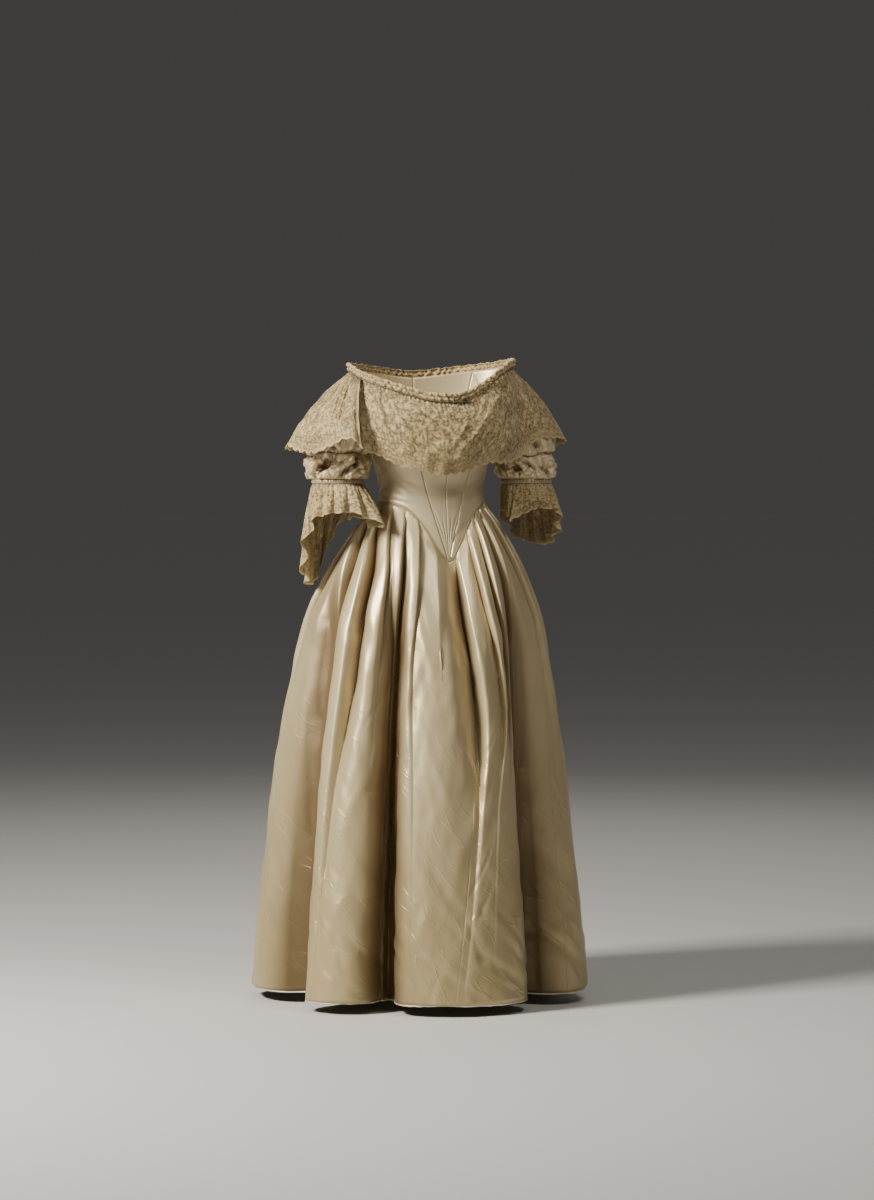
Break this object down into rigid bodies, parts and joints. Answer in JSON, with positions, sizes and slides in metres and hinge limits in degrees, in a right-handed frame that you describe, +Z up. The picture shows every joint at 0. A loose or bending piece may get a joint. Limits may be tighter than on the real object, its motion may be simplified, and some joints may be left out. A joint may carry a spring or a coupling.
{
  "type": "wedding dress",
  "caption": "Antique-style satin wedding dress with a pointed bodice, pleated full skirt, short puffed sleeves, and a deep lace collar and lace cuffs.",
  "frame": {"origin": "inside the dress at the middle of the natural waist, level with the sides of the waist seam, where a dress stand holds it", "axes": "+Z up from the hem to the shoulders, -Y the front of the dress, +X the wearer's left"},
  "size_m": [0.6316, 0.6523, 1.1973],
  "materials": {
    "satin": "soft satin, warm ivory",
    "lace": "matte, golden ecru",
    "binding": "matte, off-white"
  },
  "bodies": {
    "root": {"back_left": "satin", "back_right": "satin", "front_centre_left": "satin", "front_centre_right": "satin", "front_side_left": "satin", "front_side_right": "satin", "side_back_left": "satin", "side_back_right": "satin", "shoulder_strap_left": "satin", "shoulder_strap_right": "satin", "waist_piping": "satin", "skirt_panel_1": "satin", "skirt_panel_2": "satin", "skirt_panel_3": "satin", "skirt_panel_4": "satin", "skirt_panel_5": "satin", "skirt_panel_6": "satin", "sleeve_upper_puff_left": "satin", "sleeve_lower_puff_left": "satin", "sleeve_band_left": "satin", "sleeve_upper_puff_right": "satin", "sleeve_lower_puff_right": "satin", "sleeve_band_right": "satin", "lace_collar_left": "lace", "lace_collar_right": "lace", "neck_frill": "lace", "neck_cord": "lace", "lace_cuff_left": "lace", "lace_cuff_right": "lace", "hem_binding": "binding"}
  },
  "joints": []
}
